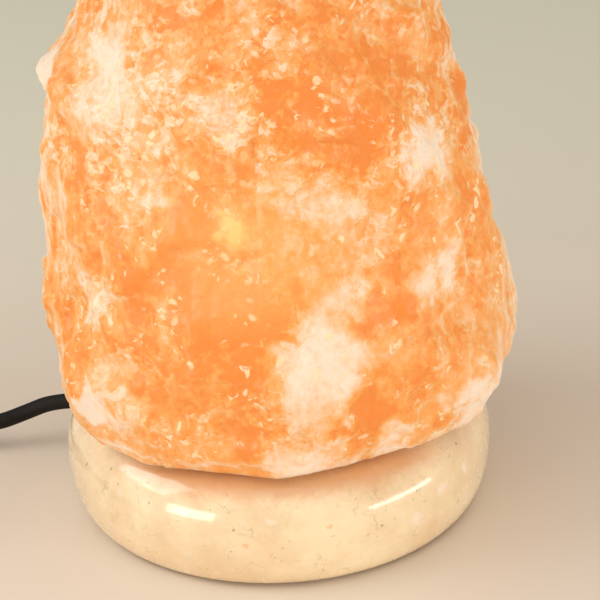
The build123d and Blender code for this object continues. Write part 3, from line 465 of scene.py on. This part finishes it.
# Base screws
# Three zinc plated pan head screws with washers, from below, in white nylon anchors that are
# glued in the salt. The zinc is bright on its edges and has dulled on its flats.
edge_wear, ins, outs = shared_group(
    "edge_wear",
    {"Flat": colour_kind, "Edge": colour_kind, "Width": number_kind},
    {"Colour": colour_kind},
)
rounded = add_node(edge_wear, "ShaderNodeBevel")
rounded.samples = 4
edge_wear.links.new(ins.outputs["Width"], rounded.inputs["Radius"])
straight = edge_wear.nodes.new("ShaderNodeNewGeometry")
alike = vector_maths(
    edge_wear, "DOT_PRODUCT", rounded.outputs["Normal"], straight.outputs["Normal"]
)
rubbed = add_node(
    edge_wear, "ShaderNodeTexNoise", Vector=surface_place(edge_wear), Scale=400.0, Detail=4.0
)
worn_share = maths(
    edge_wear,
    "MULTIPLY",
    remap(edge_wear, alike, 0.80, 0.99, 1.0, 0.0),
    remap(edge_wear, rubbed.outputs["Fac"], 0.35, 0.6),
)
worn_colour = blend_colours(edge_wear, worn_share, ins.outputs["Flat"], ins.outputs["Edge"])
edge_wear.links.new(worn_colour, outs.inputs["Colour"])


def plain_metal(name, colour, tarnish, edge, roughness):
    """Plated or plain metal: tarnish in clouds, brighter worn edges, a fine grain in relief."""
    material, tree, shader = new_finish(name, Metallic=1.0)
    film = place_group(tree, dust_film, Clean=colour, Dust=tarnish, Amount=0.7, Scale=220.0)
    worn = place_group(tree, edge_wear, Flat=film.outputs["Colour"], Edge=edge, Width=0.0003)
    tree.links.new(worn.outputs["Colour"], shader.inputs["Base Color"])
    dull_and_grain(tree, shader, film, roughness, 0.2, 1500.0, 0.15, 0.0001)
    return material


def moulded_plastic(name, colour, dust, edge, roughness, grain_scale):
    """Hard moulded plastic: spark-eroded grain, a little dust, edges rubbed paler."""
    material, tree, shader = new_finish(name, Specular_IOR_Level=0.5)
    film = place_group(tree, dust_film, Clean=colour, Dust=dust, Amount=0.25, Scale=90.0)
    worn = place_group(tree, edge_wear, Flat=film.outputs["Colour"], Edge=edge, Width=0.0004)
    tree.links.new(worn.outputs["Colour"], shader.inputs["Base Color"])
    dull_and_grain(tree, shader, film, roughness, 0.12, grain_scale, 0.3, 0.00015)
    return material


zinc_finish = plain_metal(
    "screw_steel", (0.52, 0.52, 0.50, 1), (0.30, 0.29, 0.26, 1), (0.75, 0.75, 0.73, 1), 0.28
)
dress(zinc_finish, "base_screws", "screw_washers", "dimmer_screws")
nylon_finish = moulded_plastic(
    "nylon", (0.72, 0.70, 0.64, 1), (0.50, 0.46, 0.38, 1), (0.80, 0.79, 0.75, 1), 0.40, 800.0
)
dress(nylon_finish, "screw_plugs")

# Lamp holder
# The holder hangs in the bore: a spring steel pressing whose wings grip the stone, a threaded
# bush and its nut, and two black shells round a steatite block with brass contacts.
spring_finish = plain_metal(
    "spring_steel", (0.44, 0.44, 0.43, 1), (0.26, 0.24, 0.21, 1), (0.66, 0.66, 0.65, 1), 0.32
)
dress(spring_finish, "spring_bracket")
shell_finish = moulded_plastic(
    "black_plastic", (0.018, 0.018, 0.019, 1), (0.09, 0.085, 0.08, 1), (0.07, 0.07, 0.07, 1), 0.42, 1100.0
)
dress(shell_finish, "cord_bush", "holder_cap", "holder_body", "pin_sleeves")
brass_finish = plain_metal(
    "brass", (0.72, 0.50, 0.20, 1), (0.42, 0.27, 0.10, 1), (0.88, 0.68, 0.34, 1), 0.25
)
dress(brass_finish, "lock_nut", "terminal_screws", "shell_contact", "centre_contact")
steatite_finish = moulded_plastic(
    "porcelain", (0.74, 0.72, 0.66, 1), (0.52, 0.48, 0.40, 1), (0.82, 0.81, 0.77, 1), 0.30, 1300.0
)
dress(steatite_finish, "terminal_block")
copper_finish = plain_metal(
    "copper_wire", (0.72, 0.33, 0.17, 1), (0.36, 0.15, 0.08, 1), (0.88, 0.50, 0.32, 1), 0.30
)
dress(copper_finish, "core_wires", "dimmer_wires")

# Bulb
# A small screw bulb: a clear glass envelope on a nickel plated cap, with a black glass
# insulator, a solder tip, and a glass stem that carries the leads and the glowing filament.
glass_finish, tree, shader = new_finish("clear_glass", IOR=1.5)
shader.inputs["Transmission Weight"].default_value = 1.0
glass_colour = (0.98, 0.98, 0.97, 1)
glass_dust = (0.86, 0.84, 0.80, 1)
film = place_group(
    tree, dust_film, Clean=glass_colour, Dust=glass_dust, Scale=120.0, Amount=0.5
)
tree.links.new(film.outputs["Colour"], shader.inputs["Base Color"])
dulled = remap(tree, film.outputs["Cover"], 0.0, 1.0, 0.01, 0.09)
tree.links.new(dulled, shader.inputs["Roughness"])
dress(glass_finish, "bulb_glass", "bulb_stem")
nickel_finish = plain_metal(
    "cap_metal", (0.60, 0.56, 0.49, 1), (0.36, 0.31, 0.24, 1), (0.80, 0.77, 0.70, 1), 0.22
)
dress(nickel_finish, "bulb_cap")
insulator_finish = moulded_plastic(
    "bulb_ceramic", (0.010, 0.010, 0.012, 1), (0.05, 0.05, 0.05, 1), (0.05, 0.05, 0.06, 1), 0.10, 500.0
)
dress(insulator_finish, "bulb_insulator")
solder_finish = plain_metal(
    "solder", (0.55, 0.55, 0.54, 1), (0.33, 0.33, 0.32, 1), (0.74, 0.74, 0.73, 1), 0.38
)
dress(solder_finish, "bulb_tip")
lead_finish = plain_metal(
    "lead_wire", (0.50, 0.47, 0.42, 1), (0.30, 0.27, 0.22, 1), (0.70, 0.68, 0.63, 1), 0.30
)
dress(lead_finish, "bulb_leads")
filament_finish, tree, shader = new_finish("filament", Roughness=0.5, Emission_Strength=30.0)
turns = add_node(tree, "ShaderNodeTexNoise", Vector=surface_place(tree), Scale=2500.0)
hot_colour = blend_colours(
    tree, turns.outputs["Fac"], (1.0, 0.42, 0.10, 1), (1.0, 0.66, 0.26, 1)
)
tree.links.new(hot_colour, shader.inputs["Base Color"])
tree.links.new(hot_colour, shader.inputs["Emission Color"])
dress(filament_finish, "bulb_filament")

# Rock salt
# One rough block, split and chipped by hand and hollowed from below for the bulb. It is cloudy
# orange and frosted white where it was struck, with pale crystal flecks. The bulb's light in it is
# drawn as a glow of its surface, in its own colour.
salt_voxel = 0.00126
salt_foot = 0.038
salt_foot_margin = 0.004
bulb_space_radius = 0.032
bulb_space_top = 0.134
bulb_space_margin = 0.002
salt_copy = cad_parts["salt_crystal"].data.copy()
form = bmesh.new()
form.from_mesh(salt_copy)
bmesh.ops.remove_doubles(form, verts=form.verts, dist=0.00001)
form.to_mesh(salt_copy)
form.free()
rough_block = bpy.data.objects.new("rough_block", salt_copy)
bpy.context.scene.collection.objects.link(rough_block)
remesh = rough_block.modifiers.new("remesh", "REMESH")
remesh.mode = "VOXEL"
remesh.voxel_size = salt_voxel
bpy.context.view_layer.update()
salt_mesh = bpy.data.meshes.new_from_object(
    rough_block.evaluated_get(bpy.context.evaluated_depsgraph_get())
)
bpy.data.objects.remove(rough_block)


def on_outside(place):
    """Whether a point of the block is clear of its foot and of the bulb's space."""
    clear_of_side = place.xy.length > bulb_space_radius + bulb_space_margin
    clear_of_top = place.z > bulb_space_top + bulb_space_margin
    return place.z > salt_foot + salt_foot_margin and (clear_of_side or clear_of_top)


def smooth_outside(mesh, rounds, factor):
    """Smooths the block's mesh, apart from its foot and the bulb's space."""
    form = bmesh.new()
    form.from_mesh(mesh)
    outside = [vertex for vertex in form.verts if on_outside(vertex.co)]
    for step in range(rounds):
        bmesh.ops.smooth_vert(
            form, verts=outside, factor=factor, use_axis_x=True, use_axis_y=True, use_axis_z=True
        )
    for face in form.faces:
        face.smooth = True
    form.to_mesh(mesh)
    form.free()


# what turns the place of a cell of the rock into the direction that its split plane faces
chip_turns = (12.9, 78.2, 37.7)
chip_starts = (0.0, 1.3, 2.1)


def chip(place, size, depth):
    """Offset of a surface point by flat chips: each cell of the rock has its own split plane."""
    cell = noise.voronoi(place / size)[1][0]
    facing = Vector(
        [sin(at * turn + start) for at, turn, start in zip(cell, chip_turns, chip_starts)]
    )
    return (place / size - cell).dot(facing.normalized()) * depth


# shallow hollows of the block's sides: middle, reach and depth
salt_hollows = [
    (Vector((-0.0730, -0.0020, 0.0840)), 0.016, 0.0014),
    (Vector((-0.0730, -0.0180, 0.0720)), 0.024, 0.0026),
    (Vector((-0.0720, 0.0000, 0.0680)), 0.028, 0.0034),
    (Vector((-0.0690, -0.0080, 0.1310)), 0.016, 0.0013),
    (Vector((-0.0680, -0.0120, 0.1480)), 0.011, 0.0030),
    (Vector((-0.0640, 0.0060, 0.1570)), 0.010, 0.0015),
    (Vector((-0.0690, 0.0000, 0.1520)), 0.018, 0.0016),
    (Vector((-0.0630, 0.0000, 0.1640)), 0.014, 0.0010),
    (Vector((0.0600, 0.0040, 0.1660)), 0.016, 0.0018),
    (Vector((0.0780, 0.0000, 0.0810)), 0.014, 0.0016),
    (Vector((0.0730, -0.0240, 0.0470)), 0.021, 0.0036),
    (Vector((0.0720, 0.0000, 0.1060)), 0.030, 0.0014),
    (Vector((0.0588, -0.0097, 0.1470)), 0.008, 0.0022),
]

# ridges of the split faces, as runs of points: the points, reach and height
salt_ridges = [
    (
        [
            Vector((0.0336, -0.0613, 0.0818)),
            Vector((0.0413, -0.0582, 0.0854)),
            Vector((0.0494, -0.0491, 0.0857)),
            Vector((0.0586, -0.0363, 0.0836)),
        ],
        0.0040,
        0.0011,
    ),
    (
        [
            Vector((0.0564, -0.0393, 0.1065)),
            Vector((0.0587, -0.0356, 0.0955)),
            Vector((0.0598, -0.0360, 0.0834)),
        ],
        0.0036,
        0.0013,
    ),
    (
        [
            Vector((-0.0487, -0.0370, 0.1510)),
            Vector((-0.0515, -0.0406, 0.1238)),
            Vector((-0.0529, -0.0442, 0.0923)),
            Vector((-0.0529, -0.0497, 0.0678)),
        ],
        0.0085,
        0.0016,
    ),
    (
        [
            Vector((0.0161, -0.0680, 0.0539)),
            Vector((0.0211, -0.0668, 0.0667)),
            Vector((0.0235, -0.0668, 0.0802)),
        ],
        0.0040,
        0.0008,
    ),
]
# ridges farther than this from a point don't reach it
ridge_range = 0.1

# the relief all over the block: waves a metre or size of a chip, then height
broad_swell = (34, 0.0016)
small_swell = (90, 0.0007)
broad_chips = (0.019, 0.0022)
small_chips = (0.0065, 0.0009)
coarse_grit = (330, 0.00025)
fine_grit = (700, 0.00018)
small_swell_shift = Vector((3, 1, 2))
small_chip_shift = Vector((0.1, 0.2, 0))
foot_fade = 0.003


def wave(place, relief, shift):
    """Height of one smooth random pattern at a point."""
    waves, height = relief
    return noise.noise(place * waves + shift) * height


def run_distance(place, points):
    """How far a point lies from a run of straight lines."""
    nearest = (place - points[0]).length
    for start, end in zip(points, points[1:]):
        along = end - start
        share = min(max((place - start).dot(along) / along.length_squared, 0), 1)
        nearest = min(nearest, (place - start - along * share).length)
    return nearest


def salt_offset(place):
    """How far one point of the block moves along its normal, in metres."""
    if place.xy.length < bulb_space_radius and place.z < bulb_space_top:
        return 0.0
    unmoved = Vector((0, 0, 0))
    swell = wave(place, broad_swell, unmoved) + wave(place, small_swell, small_swell_shift)
    chips = chip(place, *broad_chips) + chip(place + small_chip_shift, *small_chips)
    grit = wave(place, coarse_grit, unmoved) + wave(place, fine_grit, unmoved)
    fade = min(max((place.z - salt_foot) / foot_fade, 0), 1)
    offset = (swell + chips + grit) * fade
    for middle, reach, depth in salt_hollows:
        share = max(1 - (place - middle).length_squared / reach**2, 0)
        offset -= depth * share**2
    for points, reach, height in salt_ridges:
        if (place - points[0]).length < ridge_range:
            share = max(1 - (run_distance(place, points) / reach) ** 2, 0)
            offset += height * share**2
    return offset


smooth_outside(salt_mesh, rounds=5, factor=0.5)
normals = [vertex.normal.copy() for vertex in salt_mesh.vertices]
for vertex, normal in zip(salt_mesh.vertices, normals):
    vertex.co += normal * salt_offset(vertex.co.copy())
smooth_outside(salt_mesh, rounds=2, factor=0.35)

fleck_colour = (0.93, 0.72, 0.42, 1)
bulb_glow_colour = (0.90, 0.45, 0.13, 1)
bright_spot_colour = (0.94, 0.66, 0.22, 1)
# share of the salt's colour that it throws back, and that it gives off near the bulb and far off
salt_reflected = 0.70
glow_near = 0.41
glow_far = 0.33
glow_reach = 0.14
glow_middle = (-0.005, -0.045, 0.095)
salt_finish, tree, shader = new_finish("rock_salt", Roughness=0.40, Emission_Strength=1.0)
shader.inputs["Subsurface Weight"].default_value = 0.3
shader.inputs["Subsurface Radius"].default_value = (1.0, 0.35, 0.12)
shader.inputs["Subsurface Scale"].default_value = 0.006
shader.inputs["Coat Weight"].default_value = 0.25
shader.inputs["Coat Roughness"].default_value = 0.22
place = surface_place(tree)
stretch = add_node(tree, "ShaderNodeMapping", Vector=place)
stretch.inputs["Scale"].default_value = (1.0, 1.0, 0.55)
clouds = add_node(
    tree, "ShaderNodeTexNoise", Vector=stretch.outputs["Vector"], Scale=42.0, Detail=3.0, Distortion=0.3
)
mottle = add_node(
    tree, "ShaderNodeTexNoise", Vector=place, Scale=150.0, Detail=6.0, Roughness=0.62, Distortion=0.5
)
warp = add_node(tree, "ShaderNodeTexNoise", Vector=place, Scale=85.0, Detail=2.0, Roughness=0.5)
warp_reach = 0.026
patch_place = vector_maths(
    tree, "SUBTRACT", bent(tree, place, warp, warp_reach), [warp_reach / 2] * 3
)


def near(tree, place, middle, reach, inside):
    """A soft round region: the value inside at its middle, and 0 past its reach."""
    away = vector_maths(tree, "DISTANCE", place, middle)
    return remap(tree, away, reach * 0.3, reach, inside, 0.0)


# frosted regions of the block, and deep clear ones: middle, reach and how much paler
region_contrast = 0.9
salt_regions = [
    ((0.0150, -0.0690, 0.0830), 0.020, 0.40),
    ((0.0120, -0.0680, 0.0660), 0.014, 0.22),
    ((0.0462, -0.0415, 0.1356), 0.016, 0.34),
    ((0.0514, -0.0446, 0.0976), 0.014, 0.36),
    ((0.0262, -0.0600, 0.0990), 0.010, 0.26),
    ((0.0601, -0.0452, 0.0527), 0.016, 0.36),
    ((0.0350, -0.0610, 0.0440), 0.013, 0.30),
    ((-0.0500, -0.0325, 0.1590), 0.022, 0.30),
    ((-0.0667, -0.0060, 0.1507), 0.014, 0.50),
    ((-0.0578, -0.0466, 0.0551), 0.009, 0.65),
    ((-0.0511, -0.0445, 0.0958), 0.012, 0.26),
    ((0.0174, -0.0573, 0.1264), 0.013, 0.28),
    ((-0.0130, -0.0519, 0.1554), 0.013, 0.16),
    ((-0.0331, -0.0505, 0.1258), 0.008, 0.24),
    ((0.0038, -0.0683, 0.0450), 0.015, 0.26),
    ((-0.0473, -0.0509, 0.0612), 0.017, 0.16),
    ((-0.0640, -0.0250, 0.1250), 0.022, 0.12),
    ((-0.0270, -0.0570, 0.1150), 0.020, -0.16),
    ((0.0080, -0.0510, 0.1560), 0.014, -0.14),
    ((-0.0300, -0.0630, 0.0700), 0.018, -0.12),
    ((-0.0080, -0.0690, 0.0880), 0.022, -0.16),
    ((-0.0300, -0.0600, 0.0950), 0.020, -0.12),
    ((0.0283, -0.0656, 0.0571), 0.014, -0.22),
    ((0.0357, -0.0570, 0.0978), 0.011, -0.22),
    ((0.0605, -0.0107, 0.1352), 0.012, -0.24),
    ((0.0542, -0.0171, 0.1606), 0.012, -0.20),
    ((0.0313, -0.0501, 0.1463), 0.014, -0.18),
    ((-0.0100, -0.0690, 0.0560), 0.012, -0.14),
]
paleness = maths(tree, "MULTIPLY_ADD", clouds.outputs["Fac"], 0.75, -0.03)
paleness = maths(tree, "MULTIPLY_ADD", mottle.outputs["Fac"], 0.44, paleness)
fine_mottle = add_node(
    tree, "ShaderNodeTexNoise", Vector=stretch.outputs["Vector"], Scale=480.0, Detail=4.0, Roughness=0.65
)
fine_tilt = maths(tree, "SUBTRACT", fine_mottle.outputs["Fac"], 0.5)
paleness = maths(tree, "MULTIPLY_ADD", fine_tilt, 0.35, paleness)
for middle, reach, paler in salt_regions:
    region = near(tree, patch_place, middle, reach, paler * region_contrast)
    paleness = maths(tree, "ADD", paleness, region)
crystal_place = bent(tree, place, mottle, 0.007)
crystal_groups = add_node(tree, "ShaderNodeTexNoise", Vector=place, Scale=58.0, Detail=3.0)
crystal_share = remap(tree, crystal_groups.outputs["Fac"], 0.42, 0.60, 0.05, 0.17)
height = add_node(tree, "ShaderNodeSeparateXYZ", Vector=place).outputs["Z"]
crystal_share = maths(tree, "ADD", crystal_share, remap(tree, height, 0.110, 0.150, 0.0, 0.10))
for scale in (230.0, 560.0):
    crystals = add_node(tree, "ShaderNodeTexVoronoi", Vector=crystal_place, Scale=scale)
    draw = add_node(tree, "ShaderNodeSeparateColor", Color=crystals.outputs["Color"])
    tilt = maths(tree, "SUBTRACT", maths(tree, "POWER", draw.outputs["Red"], 2.0), 0.32)
    paleness = maths(tree, "MULTIPLY_ADD", tilt, crystal_share, paleness)
# painted light: the salt is paler where its surface turns away from the camera, toward its outline
facing_weight = add_node(tree, "ShaderNodeLayerWeight", Blend=0.5)
painted_light_share = remap(tree, facing_weight.outputs["Facing"], 0.35, 0.95)
paleness = maths(tree, "MULTIPLY_ADD", painted_light_share, 0.22, paleness)
# the salt's colours from deep orange to frosted, each with its paleness
salt_ramp = add_node(tree, "ShaderNodeValToRGB", Fac=paleness)
ramp = salt_ramp.color_ramp
ramp.elements[0].position = 0.42
ramp.elements[0].color = (0.86, 0.25, 0.035, 1)
ramp.elements[1].position = 1.0
ramp.elements[1].color = (0.90, 0.71, 0.54, 1)
for position, colour in (
    (0.54, (0.88, 0.34, 0.070, 1)),
    (0.63, (0.88, 0.41, 0.13, 1)),
    (0.73, (0.89, 0.51, 0.26, 1)),
    (0.86, (0.91, 0.64, 0.43, 1)),
):
    ramp.elements.new(position).color = colour

fleck_noise = add_node(
    tree, "ShaderNodeTexNoise", Vector=place, Scale=270.0, Detail=2.5, Roughness=0.6, Distortion=0.7
)
fleck_groups = add_node(tree, "ShaderNodeTexNoise", Vector=place, Scale=75.0, Detail=2.0)
flecks = maths(
    tree,
    "MULTIPLY",
    remap(tree, fleck_noise.outputs["Fac"], 0.62, 0.67),
    remap(tree, fleck_groups.outputs["Fac"], 0.44, 0.56),
)
thread_noise = add_node(
    tree, "ShaderNodeTexNoise", Vector=place, Scale=150.0, Detail=1.0, Distortion=0.8
)
thread_middle = maths(tree, "ABSOLUTE", maths(tree, "SUBTRACT", thread_noise.outputs["Fac"], 0.5))
thread_groups = add_node(tree, "ShaderNodeTexNoise", Vector=place, Scale=110.0, Detail=1.0)
threads = maths(
    tree,
    "MULTIPLY",
    remap(tree, thread_middle, 0.004, 0.020, 0.4, 0.0),
    remap(tree, thread_groups.outputs["Fac"], 0.60, 0.68),
)
fleck_share = maths(tree, "MAXIMUM", flecks, threads)
loose = scattered(tree, bent(tree, place, mottle, 0.009), 260.0, 0.42, 0.72)
grouped = remap(tree, fleck_groups.outputs["Fac"], 0.48, 0.60)
fleck_share = maths(tree, "MAXIMUM", fleck_share, maths(tree, "MULTIPLY", loose, grouped))
fleck_cover = maths(tree, "MULTIPLY", fleck_share, 0.8)
salt_colour = blend_colours(tree, fleck_cover, salt_ramp.outputs["Color"], fleck_colour)
bulb_glow = near(tree, patch_place, (-0.0080, -0.0620, 0.1130), 0.034, 0.45)
bright_spot = near(tree, patch_place, (-0.0110, -0.0620, 0.1190), 0.008, 0.7)
salt_colour = blend_colours(tree, bulb_glow, salt_colour, bulb_glow_colour)
salt_colour = blend_colours(tree, bright_spot, salt_colour, bright_spot_colour)
reflected = vector_maths(tree, "SCALE", salt_colour, salt_reflected)
tree.links.new(reflected, shader.inputs["Base Color"])

away = vector_maths(tree, "DISTANCE", place, glow_middle)
glow = remap(tree, away, 0.0, glow_reach, glow_near, glow_far)
above_foot = remap(tree, height, 0.0378, 0.0400)
glow = maths(tree, "MULTIPLY", glow, above_foot)
tree.links.new(vector_maths(tree, "SCALE", salt_colour, glow), shader.inputs["Emission Color"])

facets = add_node(tree, "ShaderNodeTexVoronoi", Vector=place, Scale=420.0)
grit = add_node(tree, "ShaderNodeTexNoise", Vector=place, Scale=520.0, Detail=5.0, Roughness=0.7)
salt_relief = maths(tree, "MULTIPLY_ADD", facets.outputs["Distance"], 0.6, grit.outputs["Fac"])
salt_relief = maths(tree, "MULTIPLY_ADD", fleck_share, 0.5, salt_relief)
add_bump(tree, shader, salt_relief, 0.45, 0.0009)

salt_block = place_mesh("salt_block", salt_mesh, salt_finish, "lamp")
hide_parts("salt_crystal")

# Dimmer
# A thumb-wheel dimmer on the cord: two black shells held by two screws, with a ribbed wheel
# that sticks out at both sides, and inside a small board with its parts and wires.
case_finish = moulded_plastic(
    "dimmer_plastic", (0.020, 0.020, 0.021, 1), (0.10, 0.095, 0.09, 1), (0.075, 0.075, 0.075, 1), 0.36, 900.0
)
dress(case_finish, "dimmer_lower", "dimmer_upper")
wheel_finish = moulded_plastic(
    "wheel_plastic", (0.030, 0.030, 0.031, 1), (0.12, 0.115, 0.11, 1), (0.11, 0.11, 0.11, 1), 0.30, 1200.0
)
dress(wheel_finish, "dimmer_wheel", "dimmer_spindle")
board_finish = moulded_plastic(
    "board", (0.40, 0.24, 0.09, 1), (0.26, 0.15, 0.06, 1), (0.50, 0.34, 0.16, 1), 0.50, 600.0
)
dress(board_finish, "dimmer_board", "dimmer_dial")
capacitor_finish = moulded_plastic(
    "capacitor_case", (0.42, 0.05, 0.03, 1), (0.28, 0.06, 0.04, 1), (0.55, 0.14, 0.10, 1), 0.25, 700.0
)
dress(capacitor_finish, "dimmer_capacitor")
triac_finish = moulded_plastic(
    "triac_case", (0.022, 0.022, 0.024, 1), (0.09, 0.09, 0.09, 1), (0.08, 0.08, 0.08, 1), 0.55, 1400.0
)
dress(triac_finish, "dimmer_triac")

# Cord tie and plug
# A flat plastic-covered wire tie holds the coil. The plug is a flat moulded two-pin one, with
# brass pins in black sleeves.
tie_finish = soft_plastic(
    "tie_plastic", (0.030, 0.030, 0.030, 1), (0.12, 0.11, 0.10, 1), 0.3, 0.35, 800.0, 0.0002
)
dress(tie_finish, "cord_tie")
pin_finish = plain_metal(
    "pin_brass", (0.70, 0.60, 0.42, 1), (0.44, 0.35, 0.22, 1), (0.86, 0.78, 0.62, 1), 0.20
)
dress(pin_finish, "plug_pins")
